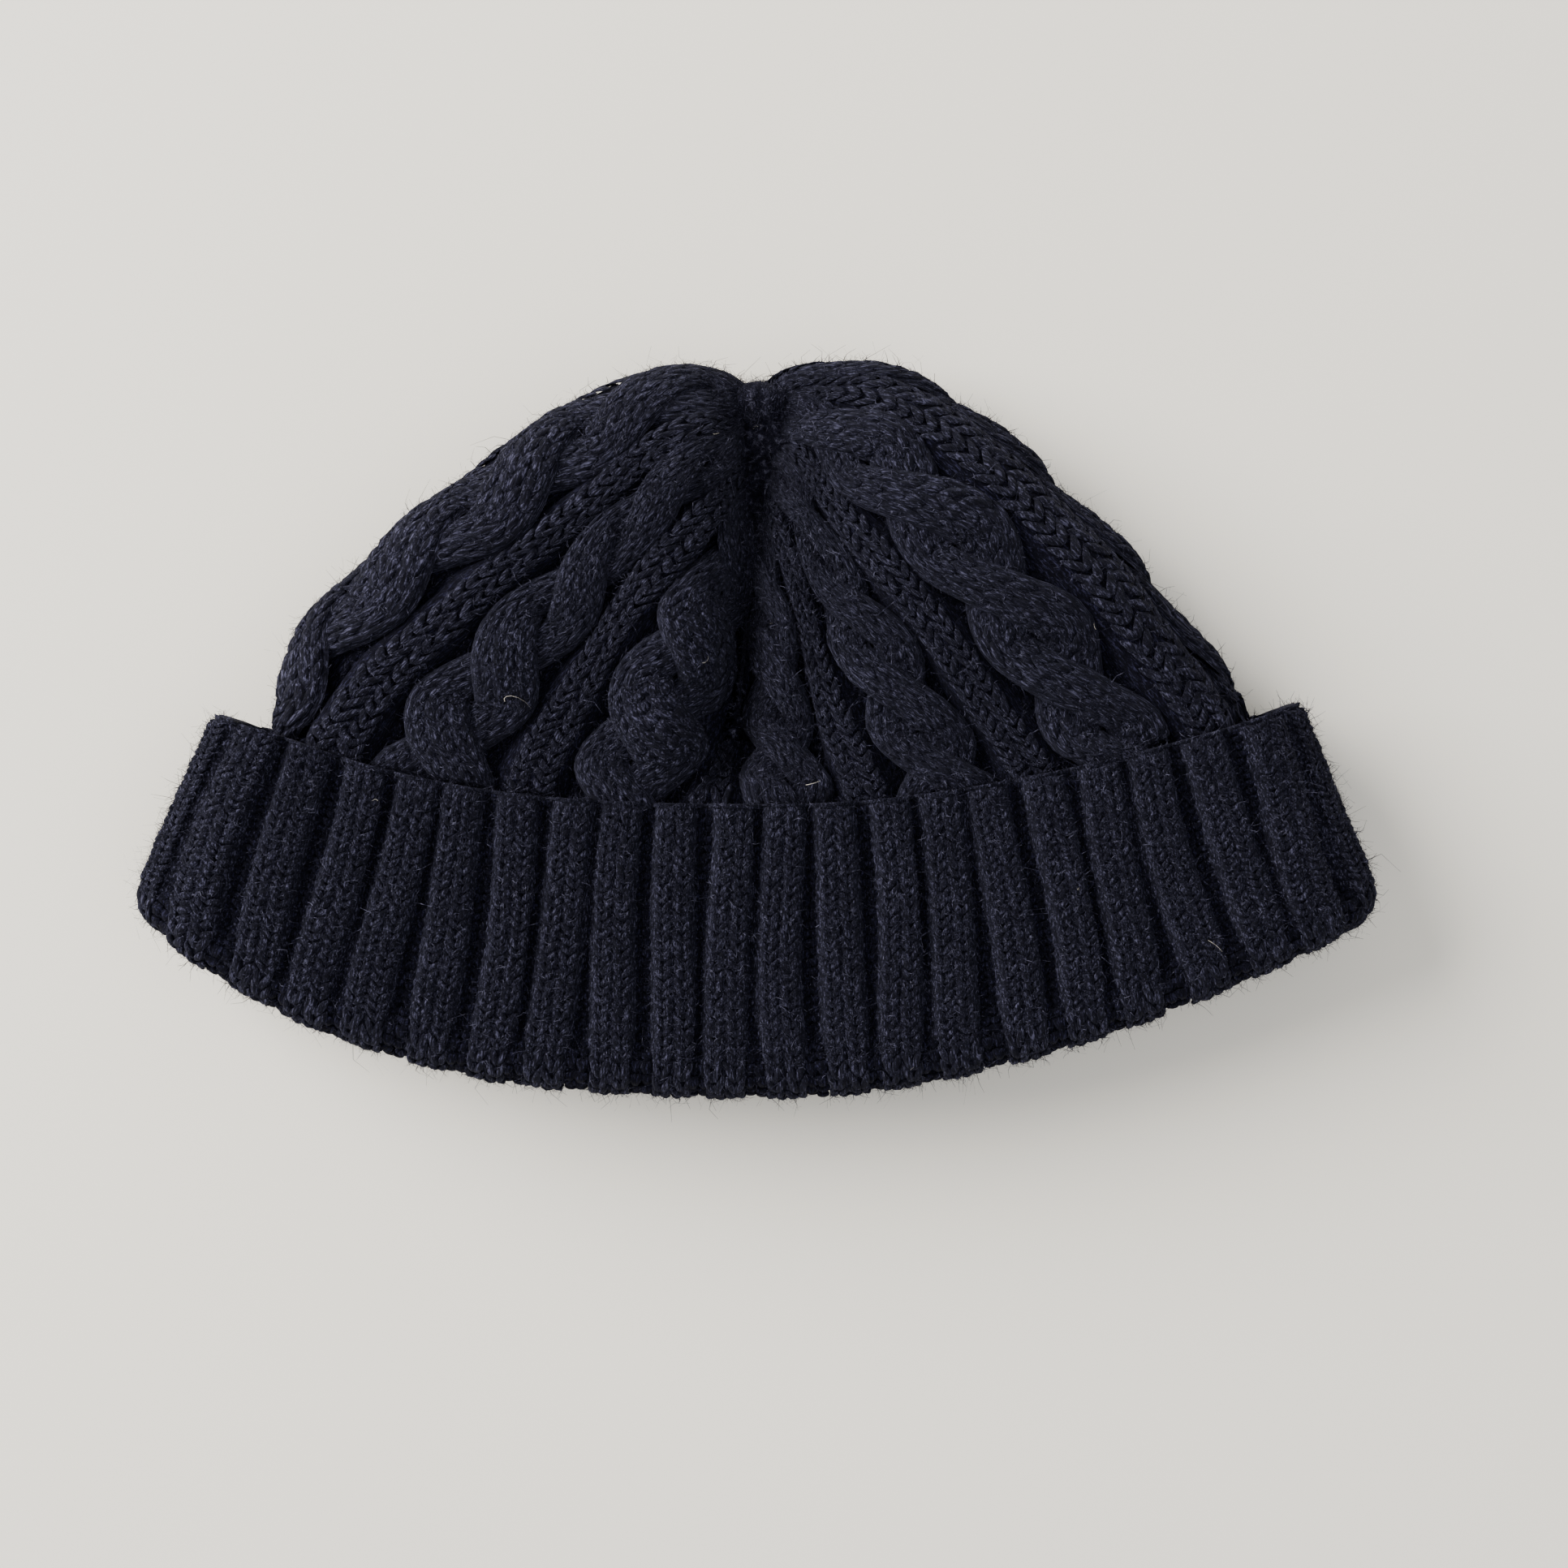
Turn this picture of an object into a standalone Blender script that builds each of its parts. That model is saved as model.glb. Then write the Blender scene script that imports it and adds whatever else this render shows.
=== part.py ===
"""Knit beanie lying flat: opening toward -Y, crown top toward +Y, resting on its back side at z = 0."""
import math

import bmesh
import bpy
import numpy as np

mm = 0.001

# overall sizes, millimetres
crownWidth = 181.0         # across the crown just above the cuff
cuffRoom = 20.0            # wider than the crown, the free edge of the cuff
foldFlare = 32.0           # wider than its free edge, the folded edge of the cuff
cuffDepth = 53.2           # fold to free edge, on the centre line
cuffSideDepth = 37.5       # fold to free edge, at the side folds
edgeSag = 17.3             # how far the free edge bows out at the centre
crownHeight = 76.0         # cuff edge to the top of the crown, on the centre line
cuffEdgeMid = -14.4        # free edge of the cuff on the centre line, y

# fabric thicknesses, measured through the layers
gap = 0.4                  # clearance between two layers that touch
fabric = 2.0               # purl ground of the crown
tuckedColumn = 2.2         # crown columns where the cuff presses on them
ribRelief = 4.2            # crown rib above the ground
cableRelief = 5.4          # cable above the ground
cuffThick = 4.5            # cuff at the top of a rib
cuffValley = 2.3           # cuff at the bottom of a valley
liningThick = 2.2          # cuff layer against the head
headSpace = 8.4            # open height between the two lining layers
columnRows = [-0.55, -0.2, 0.0, 0.08, 0.16, 0.25, 0.34, 0.43, 0.52, 0.61, 0.7, 0.78, 0.86, 0.94]

# pattern
panelGap = 0.35            # between two ground panels, under the middle of a rib
repeats = 11               # one cable and one rib per repeat, round the crown
ribsPerRepeat = 4          # cuff ribs per repeat
cuffRibs = repeats * ribsPerRepeat
foldTake = 2.3             # width of fabric taken up by the two side folds
ribAt = 0.36               # place of the rib inside its repeat
cableAt = 0.86             # place of the cable inside its repeat
ribWidth = 0.28            # of one repeat
cableWidth = 0.60
cableCross = 17.0          # length of one cable crossing
fabricTop = 0.965          # top row of the crown, where it is gathered in
facet = 3.7                # widest flat of the folded fabric, so that layers bend alike
hemShare = 0.62            # crown hem inside the cuff, share of the cuff depth above the fold
liningTop = 0.70           # top of the lining layer, share of the cuff depth
foldNose = 0.10            # rolled fold, share of the cuff depth
frontSpan = 5.72           # repeats seen on the front at the cuff
sideTurn = 0.55            # cable that rolls onto the front at the left side
creaseDepth = 5.5          # of the fold down the middle of the front
creaseRoom = 2.6           # the crease is this much wider than the cables that lean into it are tall

# care label sewn inside the back
labelWidth = 32.0
labelLength = 20.0
labelThick = 0.6
labelSeamY = 12.0
threadRadius = 0.45

# widths and bows that follow from the sizes above, and levels above the table
cuffEdgeWidth = crownWidth + cuffRoom
foldWidth = cuffEdgeWidth + foldFlare
foldSag = edgeSag + cuffDepth - cuffSideDepth
repeatWidth = (2 * crownWidth - foldTake) / repeats
liningInner = headSpace / 2
crownInner = liningInner + liningThick + gap
cuffInner = crownInner + fabric + gap + tuckedColumn + gap
midLevel = cuffInner + cuffThick
columnBase = fabric + gap * 1.4
relief = columnBase + cableRelief
creaseWidth = cableRelief + creaseRoom
topShare = 0.35            # height left to a column where it is gathered in at the top

# outline of the crown: share of the half width, share of the crown height
leftOutline = [(-1.0, 0.145), (-1.0, 0.211), (-0.967, 0.329), (-0.917, 0.461), (-0.829, 0.579), (-0.729, 0.697),
               (-0.613, 0.803), (-0.519, 0.895), (-0.42, 0.974), (-0.32, 1.025), (-0.221, 1.055), (-0.133, 1.06),
               (-0.06, 1.035), (0.0, 0.985)]
rightOutline = [(1.02, 0.171), (1.02, 0.23), (0.965, 0.329), (0.868, 0.461), (0.8, 0.579), (0.675, 0.724),
                (0.535, 0.882), (0.43, 0.98), (0.325, 1.045), (0.243, 1.07), (0.144, 1.07), (0.065, 1.04),
                (0.0, 0.985)]
ribShareAtCuff = (0.045, 0.255, 0.45, 0.617, 0.795, 0.975)
ribShareAtTop = (0.2, 0.365, 0.515, 0.56, 0.70, 0.93)
frontRise = [(0.0, 0.0), (0.17, 0.0), (0.36, 4.8), (0.6, 5.2), (0.85, 1.0), (1.0, -4.5)]
backSag = [(0.0, 0.0), (0.17, 0.0), (0.36, -1.0), (0.6, -0.6), (0.85, -1.6), (1.0, -2.0)]


def pathPoint(points, share):
    """Point a share of the way along a smooth path."""
    p = np.array(points)
    steps = np.linalg.norm(np.diff(p, axis=0), axis=1)
    along = np.r_[0.0, np.cumsum(steps)] / steps.sum()
    weights = np.array([0.06, 0.24, 0.4, 0.24, 0.06])
    offsets = np.array([-0.09, -0.04, 0.0, 0.04, 0.09]) * math.sin(math.pi * min(max(share, 0.0), 1.0))
    s = np.clip(share + offsets, 0.0, 1.0)
    return np.array([(np.interp(s, along, p[:, k]) * weights).sum() for k in range(2)])


def smooth(points, x):
    """Soft curve through a few heights."""
    xs, ys = zip(*points)
    spread = 0.05
    return sum(np.interp(x + o * spread, xs, ys) for o in (-1, 0, 1)) / 3


def columnFade(share):
    """Columns sink towards the top, where their stitches are drawn together."""
    x = min(max((share - 0.68) / 0.3, 0.0), 1.0)
    return 1.0 - (1.0 - topShare) * x * x * (3 - 2 * x)


def outlinePoint(points, share, side):
    """Point on the crown outline, pulled in by the thickness of the columns outside it."""
    size = np.array([crownWidth / 2, crownHeight])
    here = pathPoint(points, share) * size
    ahead = pathPoint(points, min(share + 0.02, 1.0)) * size
    back = pathPoint(points, max(share - 0.02, 0.0)) * size
    tangent = (ahead - back) / np.linalg.norm(ahead - back)
    inward = np.array([tangent[1], -tangent[0]]) * side
    return here + inward * relief * columnFade(share) + np.array([0.0, cuffEdgeMid])


def crownRow(t):
    """Left, middle and right points of a crown row: t = 0 at the cuff edge, 1 at the top, -1 at the hem."""
    share = max(t, 0.0)
    left = outlinePoint(leftOutline, share, 1.0)
    right = outlinePoint(rightOutline, share, -1.0)
    topMid = crownHeight * 0.985 - relief * topShare - 1.0
    middle = np.array([0.0, cuffEdgeMid + topMid * share])
    if t < 0:
        drop = 1.0 - hemShare
        flare = 6.0 * -t
        left = left + np.array([-flare, -cuffSideDepth * drop * -t])
        right = right + np.array([flare, -cuffSideDepth * drop * -t])
        middle = middle + np.array([0.0, -cuffDepth * drop * -t])
    return left, middle, right


def hermite(xs, ys, x):
    """Smooth rising curve through the points, level at both ends."""
    slopes = np.zeros(len(xs))
    for i in range(1, len(xs) - 1):
        slopes[i] = (ys[i + 1] - ys[i - 1]) / (xs[i + 1] - xs[i - 1])
    i = int(np.clip(np.searchsorted(xs, x) - 1, 0, len(xs) - 2))
    step = xs[i + 1] - xs[i]
    s = (x - xs[i]) / step
    a = (1 + 2 * s) * (1 - s) ** 2
    b = s * (1 - s) ** 2 * step
    c = s * s * (3 - 2 * s)
    d = s * s * (s - 1) * step
    return a * ys[i] + b * slopes[i] + c * ys[i + 1] + d * slopes[i + 1]


def roundedShare(q, edge):
    """Share across a flattened tube and its height share, for a share q of its surface."""
    total = 1 - 2 * edge + math.pi * edge
    s = min(q, 1 - q) * total
    if s < math.pi / 2 * edge:
        f = edge * (1 - math.cos(s / edge))
        g = math.sin(s / edge)
    else:
        f = edge + s - math.pi / 2 * edge
        g = 1.0
    return (f if q <= 0.5 else 1 - f), g


def crownBase(c, t):
    """Point of the crown's inner surface: c counts repeats round the crown from the left side fold."""
    left, middle, right = crownRow(t)
    share = max(t, 0.0)
    turn = sideTurn * min(1.0, share * 2.0)
    c = (c + turn) % repeats - turn
    width = np.linalg.norm(right - left)
    edgeMm = min(crownInner * 1.5, width * 0.45)
    onFront = c <= frontSpan
    if onFront:
        knots = [-turn] + [i + ribAt for i in range(6)] + [frontSpan]
        shares = [0.0]
        shares += [a + (b - a) * share for a, b in zip(ribShareAtCuff, ribShareAtTop)]
        shares += [1.0]
        f = hermite(np.array(knots), np.array(shares), c)
        d = min(f, 1 - f) * width
        g = math.sqrt(max(0.0, 1 - (1 - min(d / edgeMm, 1.0)) ** 2))
        h = crownInner + smooth(frontRise, share)
    else:
        q = (c - frontSpan) / (repeats - turn - frontSpan)
        f, g = roundedShare(1 - q, edgeMm / width)
        h = crownInner - smooth(backSag, share)
    control = 2 * middle - (left + right) / 2
    xy = (1 - f) ** 2 * left + 2 * f * (1 - f) * control + f * f * right
    lower = 0.6 * share
    z = midLevel - lower + (h * g if onFront else -h * g)
    if onFront and t > 0:
        creaseX = -8.0 + 8.0 * share
        amount = math.sin(math.pi * min(1.0, share * 1.15 + 0.02))
        fade = math.exp(-((xy[0] - creaseX) / creaseWidth) ** 2)
        z -= creaseDepth * max(0.0, amount) * fade * g
    return np.array([xy[0], xy[1], z])


def cuffRowAt(b, halfWidth, x):
    """Plan point on a cuff row: b = 0 at the fold, 1 at the free edge; x runs from -1 to 1 across it."""
    low = cuffEdgeMid - cuffDepth + cuffDepth * b
    rise = foldSag + (cuffSideDepth - cuffDepth) * b
    power = 2.3 - 0.5 * math.tanh(3 * x)
    return halfWidth * x, low + rise * abs(x) ** power


def cuffBase(c, b, halfWidth, height):
    """Point of a cuff layer's inner surface: c counts cuff ribs from the left side fold."""
    share = (c % cuffRibs) / cuffRibs
    q = share * 2 if share < 0.5 else 2 - share * 2
    f, g = roundedShare(q, height * 1.05 / (2 * halfWidth))
    x, y = cuffRowAt(b, halfWidth, 2 * f - 1)
    return np.array([x, y, midLevel + (height * g if share < 0.5 else -height * g)])


def outerCuffBase(c, b):
    half = foldWidth / 2 + (cuffEdgeWidth - foldWidth) / 2 * b - cuffThick
    return cuffBase(c, b, half, cuffInner)


def liningBase(c, b):
    atFold = foldWidth / 2 - cuffThick - (cuffInner - liningInner)
    atHem = crownWidth / 2 - relief + 0.5
    half = np.interp(b, [foldNose, 0.30, 1.0], [atFold, atHem, atHem - 7.0])
    return cuffBase(c, b, half, liningInner)


def lifted(base, c, t, h):
    """Point at height h outside a base surface."""
    point = base(c, t)
    across = base(c + 0.03, t) - base(c - 0.03, t)
    along = base(c, t + 0.012) - base(c, t - 0.012)
    normal = np.cross(across, along)
    return (point + normal / np.linalg.norm(normal) * h) * mm


def material(name, colour, roughness, metallic=0.0):
    m = bpy.data.materials.new(name)
    m.use_nodes = True
    shader = m.node_tree.nodes["Principled BSDF"]
    shader.inputs["Base Color"].default_value = (*colour, 1.0)
    shader.inputs["Roughness"].default_value = roughness
    shader.inputs["Metallic"].default_value = metallic
    return m


def finish(bm, name, surface, pivot=(0.0, 0.0, 0.0)):
    """Weld, face outward and hand the body over with its origin on the pivot."""
    bmesh.ops.remove_doubles(bm, verts=bm.verts, dist=1e-6)
    bmesh.ops.recalc_face_normals(bm, faces=bm.faces)
    for v in bm.verts:
        v.co.x -= pivot[0]
        v.co.y -= pivot[1]
        v.co.z -= pivot[2]
    for face in bm.faces:
        face.smooth = True
    mesh = bpy.data.meshes.new(name)
    bm.to_mesh(mesh)
    bm.free()
    mesh.materials.append(surface)
    thing = bpy.data.objects.new(name, mesh)
    bpy.context.scene.collection.objects.link(thing)
    thing.location = pivot
    return thing


def ring(name, profile, base, around, samples, surface):
    """Closed ring of fabric: profile gives (row, height) round the section for each place c."""
    count = len(profile(0.0))
    bm = bmesh.new()
    bmesh.ops.create_grid(bm, x_segments=samples, y_segments=count, size=1.0)
    for v in bm.verts:
        i = round((v.co.x + 1) / 2 * samples)
        j = round((v.co.y + 1) / 2 * count)
        c = around * (i % samples) / samples
        t, h = profile(c)[j % count]
        v.co = lifted(base, c, t, h)
    return finish(bm, name, surface)


def strip(name, centre, width, rows, top, bottom, segments, surface):
    """Raised column of stitches on the crown, from inside the cuff to the top."""
    bm = bmesh.new()
    bmesh.ops.create_grid(bm, x_segments=segments, y_segments=len(rows) - 1, size=1.0)
    lower = list(bm.verts)
    made = bmesh.ops.extrude_face_region(bm, geom=list(bm.faces))
    upper = {g for g in made["geom"] if isinstance(g, bmesh.types.BMVert)}
    heights = {}
    for v in lower + list(upper):
        s = v.co.x
        t = rows[round((v.co.y + 1) / 2 * (len(rows) - 1))]
        heights[v] = (centre + s * width(t) / 2, t, top(s, t) if v in upper else bottom)
    for v, (c, t, h) in heights.items():
        v.co = lifted(crownBase, c, t, h)
    return finish(bm, name, surface)


def pressed(t, free):
    """Column height: flat where the cuff lies on it, full above."""
    share = min(max((t - 0.14) / 0.12, 0.0), 1.0)
    blend = share * share * (3 - 2 * share)
    return (tuckedColumn + (free - tuckedColumn) * blend) * columnFade(t)


def flats(share):
    """Number of flats across a share of one repeat."""
    return max(4, math.ceil(share * repeatWidth / facet))


def crownGround(surface):
    """Purl ground between the ribs: one panel per repeat, each meeting the next under a rib."""
    rows = [-1.0] + columnRows + [fabricTop]

    def panelTop(s, t):
        return fabric

    def panelWidth(t):
        crowding = np.interp(t, [0.0, 0.3, 0.6, 0.8, 0.9, 1.0], [1.0, 0.86, 0.56, 0.3, 0.16, 0.09])
        return 1.0 - panelGap / (repeatWidth * crowding)

    for i in range(repeats):
        middle = i + ribAt + 0.5
        strip("crown_ground_%02d" % (i + 1), middle, panelWidth, rows, panelTop, 0.0, flats(1.0), surface)


def crownColumns(surface):
    """The 11 ribs and 11 cables standing on the purl ground."""
    def ribTop(s, t):
        return columnBase + pressed(t, ribRelief) * (0.55 + 0.45 * math.sqrt(max(0.0, 1 - s * s)))

    def cableTop(s, t):
        phase = t * crownHeight / cableCross
        lobe = abs(math.sin(math.pi * (phase + 0.3 * s)))
        dome = 0.5 + 0.32 * math.sqrt(max(0.0, 1 - s * s)) + 0.18 * lobe
        return columnBase + pressed(t, cableRelief) * dome

    for i in range(repeats):
        number = "%02d" % (i + 1)
        strip("crown_rib_" + number, i + ribAt, lambda t: ribWidth, columnRows, ribTop, columnBase,
              flats(ribWidth), surface)
        strip("crown_cable_" + number, i + cableAt, lambda t: cableWidth, columnRows, cableTop, columnBase,
              flats(cableWidth), surface)


def cuffOuter(surface):
    """Turned-up layer with its ribs, rolled round the fold."""
    noseTop = -(cuffInner - liningInner)

    def section(c):
        onRib = 0.2 < c % 1.0 < 0.8
        h = cuffThick if onRib else cuffValley
        nose = cuffThick * 0.6 if onRib else cuffValley * 0.8
        outer = [(0.985, h), (0.75, h), (0.5, h), (0.25, h), (0.06, h), (0.008, nose)]
        fold = [(0.0, -2.5), (0.03, noseTop * 0.85), (foldNose, noseTop), (foldNose, noseTop + liningThick)]
        inner = [(foldNose, -1.0), (0.14, 0.0), (0.55, 0.0), (0.985, 0.0)]
        return outer + fold + inner

    return ring("cuff_turned_up", section, outerCuffBase, cuffRibs, cuffRibs * 4, surface)


def cuffLining(surface):
    """Layer of the cuff that lies against the head."""
    first = foldNose + 0.012
    rows = [first, 0.30, (0.30 + liningTop) / 2, liningTop]
    section = [(b, liningThick) for b in rows] + [(b, 0.0) for b in reversed(rows)]
    return ring("cuff_lining", lambda c: section, liningBase, cuffRibs, cuffRibs * 2, surface)


def cuffEdge(surface):
    """Cast-on edge along the free side of the cuff."""
    def section(c):
        onRib = 0.2 < c % 1.0 < 0.8
        h = cuffThick * 0.8 if onRib else cuffValley
        return [(0.992, 0.2), (0.992, h), (1.008, h * 0.85), (1.012, 0.2)]

    return ring("cuff_cast_on_edge", section, outerCuffBase, cuffRibs, cuffRibs * 4, surface)


def crownGather(surface):
    """Last stitches drawn together at the top of the crown."""
    rim = np.array([crownBase(c, fabricTop) for c in np.linspace(0.0, repeats, 24, endpoint=False)])
    centre = rim.mean(axis=0)
    reach = np.linalg.norm(rim - centre, axis=1).min() - gap
    bm = bmesh.new()
    bmesh.ops.create_uvsphere(bm, u_segments=16, v_segments=10, radius=reach * mm)
    bmesh.ops.scale(bm, vec=(1.0, 0.8, 0.9), verts=bm.verts)
    knot = finish(bm, "crown_gather", surface)
    knot.location = tuple(centre * mm)
    return knot


def careLabel(fabricSurface, threadSurface):
    """Blank folded label, hinged on the seam that holds it, and that seam's thread."""
    seat = max(crownBase(8.25, t)[2] for t in np.linspace(0.0, 0.4, 9))
    level = (seat + gap + labelThick) * mm
    pivot = (0.0, labelSeamY * mm, level)
    bm = bmesh.new()
    bmesh.ops.create_cube(bm, size=1.0)
    bmesh.ops.scale(bm, vec=(labelWidth * mm, labelLength * mm, labelThick * mm), verts=bm.verts)
    shift = (pivot[0], pivot[1] - labelLength / 2 * mm, pivot[2])
    bmesh.ops.translate(bm, vec=shift, verts=bm.verts)
    finish(bm, "care_label", fabricSurface, pivot)
    bm = bmesh.new()
    bmesh.ops.create_cone(bm, cap_ends=True, segments=10, radius1=threadRadius * mm, radius2=threadRadius * mm,
                          depth=(labelWidth - 4) * mm)
    seat = np.array([0.0, (labelSeamY + gap + threadRadius) * mm, level])
    turn = np.array([[0, 0, 1], [0, 1, 0], [-1, 0, 0]])
    for v in bm.verts:
        v.co = turn @ np.array(v.co) + seat
    finish(bm, "care_label_seam", threadSurface, tuple(seat))


for old in list(bpy.data.objects):
    bpy.data.objects.remove(old)

wool = material("navy_felted_wool", (0.012, 0.014, 0.027), 0.95)
darkWool = material("navy_purl_ground", (0.007, 0.008, 0.016), 0.97)
satin = material("white_woven_satin", (0.72, 0.71, 0.68), 0.55)
thread = material("navy_sewing_thread", (0.015, 0.018, 0.035), 0.7)

crownGround(darkWool)
crownColumns(wool)
crownGather(wool)
cuffOuter(wool)
cuffLining(darkWool)
cuffEdge(wool)
careLabel(satin, thread)

# the frame's origin is the middle of the footprint, on the table
corners = [thing.matrix_basis @ v.co for thing in bpy.data.objects for v in thing.data.vertices]
low = np.array(corners).min(axis=0)
high = np.array(corners).max(axis=0)
for thing in bpy.data.objects:
    thing.location.x -= (low[0] + high[0]) / 2
    thing.location.y -= (low[1] + high[1]) / 2
    thing.location.z -= low[2]
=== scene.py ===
import math

import bmesh
import bpy
import numpy as np
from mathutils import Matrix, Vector


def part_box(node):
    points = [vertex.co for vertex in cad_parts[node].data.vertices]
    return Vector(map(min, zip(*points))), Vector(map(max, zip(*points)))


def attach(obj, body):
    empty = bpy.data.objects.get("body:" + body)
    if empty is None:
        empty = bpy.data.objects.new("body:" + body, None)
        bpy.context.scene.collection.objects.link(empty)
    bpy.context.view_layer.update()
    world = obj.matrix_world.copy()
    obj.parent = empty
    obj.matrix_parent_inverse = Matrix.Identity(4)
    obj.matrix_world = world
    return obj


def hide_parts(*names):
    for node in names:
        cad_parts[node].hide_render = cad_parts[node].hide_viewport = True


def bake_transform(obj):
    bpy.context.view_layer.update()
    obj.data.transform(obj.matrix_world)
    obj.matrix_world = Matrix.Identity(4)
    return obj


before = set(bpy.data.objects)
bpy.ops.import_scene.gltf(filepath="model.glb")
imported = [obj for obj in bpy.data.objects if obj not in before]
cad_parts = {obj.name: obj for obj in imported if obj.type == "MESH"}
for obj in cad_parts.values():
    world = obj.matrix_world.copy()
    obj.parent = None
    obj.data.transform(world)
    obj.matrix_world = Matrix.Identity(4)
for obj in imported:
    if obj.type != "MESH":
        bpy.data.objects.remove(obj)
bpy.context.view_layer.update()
rng = np.random.default_rng(41)
mm = 0.001

# sizes that several pieces share, in millimetres, as the frame was built
midLevel = 16.3  # height of the hat's middle as it lies
cuffEdgeMid = -14.4  # free edge of the cuff, on the centre line
repeats, cuffRibs = 11, 44
ribAt, cableAt = 0.36, 0.86  # places of a rib and a cable within one repeat

crownForm = {"width": 181.0, "height": 76.0, "inner": 6.8, "fabric": 2.0, "relief": 7.96,
             "topShare": 0.35, "frontSpan": 5.72, "sideTurn": 0.55, "hemIn": 6.0, "hemShare": 0.38}

# sides of the crown, as shares of its half width and height
leftOutline = [(-1.0, 0.145), (-1.0, 0.211), (-0.967, 0.329), (-0.917, 0.461), (-0.829, 0.579),
               (-0.729, 0.697), (-0.613, 0.803), (-0.519, 0.895), (-0.42, 0.974), (-0.32, 1.025),
               (-0.221, 1.055), (-0.133, 1.06), (-0.06, 1.035), (0.0, 0.985)]
rightOutline = [(1.02, 0.171), (1.02, 0.23), (0.965, 0.329), (0.868, 0.461), (0.8, 0.579), (0.675, 0.724),
                (0.535, 0.882), (0.43, 0.98), (0.325, 1.045), (0.243, 1.07), (0.144, 1.07), (0.065, 1.04),
                (0.0, 0.985)]
ribShareAtCuff = (0.045, 0.255, 0.45, 0.617, 0.795, 0.975)
ribShareAtTop = (0.2, 0.365, 0.515, 0.56, 0.70, 0.965)
# rise of the front and sag of the back from the cuff to the top
frontRise = [(0.0, 0.0), (0.12, 0.3), (0.36, 4.8), (0.6, 5.2), (0.85, 1.0), (1.0, -4.5)]
backSag = [(0.0, 0.0), (0.17, 0.0), (0.36, -1.0), (0.6, -0.6), (0.85, -1.6), (1.0, -2.0)]


def pathPoint(points, share):
    p = np.array(points)
    steps = np.linalg.norm(np.diff(p, axis=0), axis=1)
    along = np.r_[0.0, np.cumsum(steps)] / steps.sum()
    weights = np.array([0.06, 0.24, 0.4, 0.24, 0.06])
    offsets = np.array([-0.09, -0.04, 0.0, 0.04, 0.09]) * math.sin(math.pi * min(max(share, 0.0), 1.0))
    s = np.clip(share + offsets, 0.0, 1.0)
    return np.array([(np.interp(s, along, p[:, k]) * weights).sum() for k in range(2)])


def smoothCurve(points, x):
    xs, ys = zip(*points)
    return sum(np.interp(x + o * 0.05, xs, ys) for o in (-1, 0, 1)) / 3


# columns sink towards the top, where their stitches are drawn together
def columnFade(share):
    x = np.clip((share - 0.68) / 0.3, 0.0, 1.0)
    return 1.0 - (1.0 - crownForm["topShare"]) * x * x * (3 - 2 * x)


def outlinePoint(points, share, side):
    size = np.array([crownForm["width"] / 2, crownForm["height"]])
    here = pathPoint(points, share) * size
    ahead = pathPoint(points, min(share + 0.02, 1.0)) * size
    back = pathPoint(points, max(share - 0.02, 0.0)) * size
    tangent = (ahead - back) / np.linalg.norm(ahead - back)
    inset = crownForm["relief"] * columnFade(share)
    return here + np.array([tangent[1], -tangent[0]]) * side * inset + np.array([0.0, cuffEdgeMid])


def crownRow(t):
    share = max(t, 0.0)
    left = outlinePoint(leftOutline, share, 1.0)
    right = outlinePoint(rightOutline, share, -1.0)
    topMid = crownForm["height"] * 0.985 - crownForm["relief"] * crownForm["topShare"] - 1.0
    middle = np.array([0.0, cuffEdgeMid + topMid * share])
    if t < 0:
        k = crownForm
        left = left + np.array([-k["hemIn"], -cuffForm["sideDepth"] * k["hemShare"]]) * -t
        right = right + np.array([k["hemIn"], -cuffForm["sideDepth"] * k["hemShare"]]) * -t
        middle = middle + np.array([0.0, -cuffForm["depth"] * k["hemShare"]]) * -t
    return left, middle, right


def hermite(xs, ys, x):
    slopes = np.zeros(len(xs))
    slopes[1:-1] = (ys[2:] - ys[:-2]) / (xs[2:] - xs[:-2])
    i = np.clip(np.searchsorted(xs, x) - 1, 0, len(xs) - 2)
    step = xs[i + 1] - xs[i]
    s = (x - xs[i]) / step
    value = (1 + 2 * s) * (1 - s) ** 2 * ys[i] + s * (1 - s) ** 2 * step * slopes[i]
    return value + s * s * (3 - 2 * s) * ys[i + 1] + s * s * (s - 1) * step * slopes[i + 1]


def roundedShare(q, edge):
    total = 1 - 2 * edge + math.pi * edge
    s = np.minimum(q, 1 - q) * total
    turn = np.clip(s / edge, 0, math.pi / 2)
    onEdge = s < math.pi / 2 * edge
    f = np.where(onEdge, edge * (1 - np.cos(turn)), edge + s - math.pi / 2 * edge)
    return np.where(q <= 0.5, f, 1 - f), np.where(onEdge, np.sin(turn), 1.0)


# the fold down the middle of the front: where it runs, and how it is pressed into the stitches
creaseFold = {"atMm": 6.5, "leanMm": 7.0, "depthMm": 8.5, "widthMm": 3.4, "aboveMiddleMm": 1.2}


def creaseOffset(x, share):
    return x + creaseFold["atMm"] - creaseFold["leanMm"] * share


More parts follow.
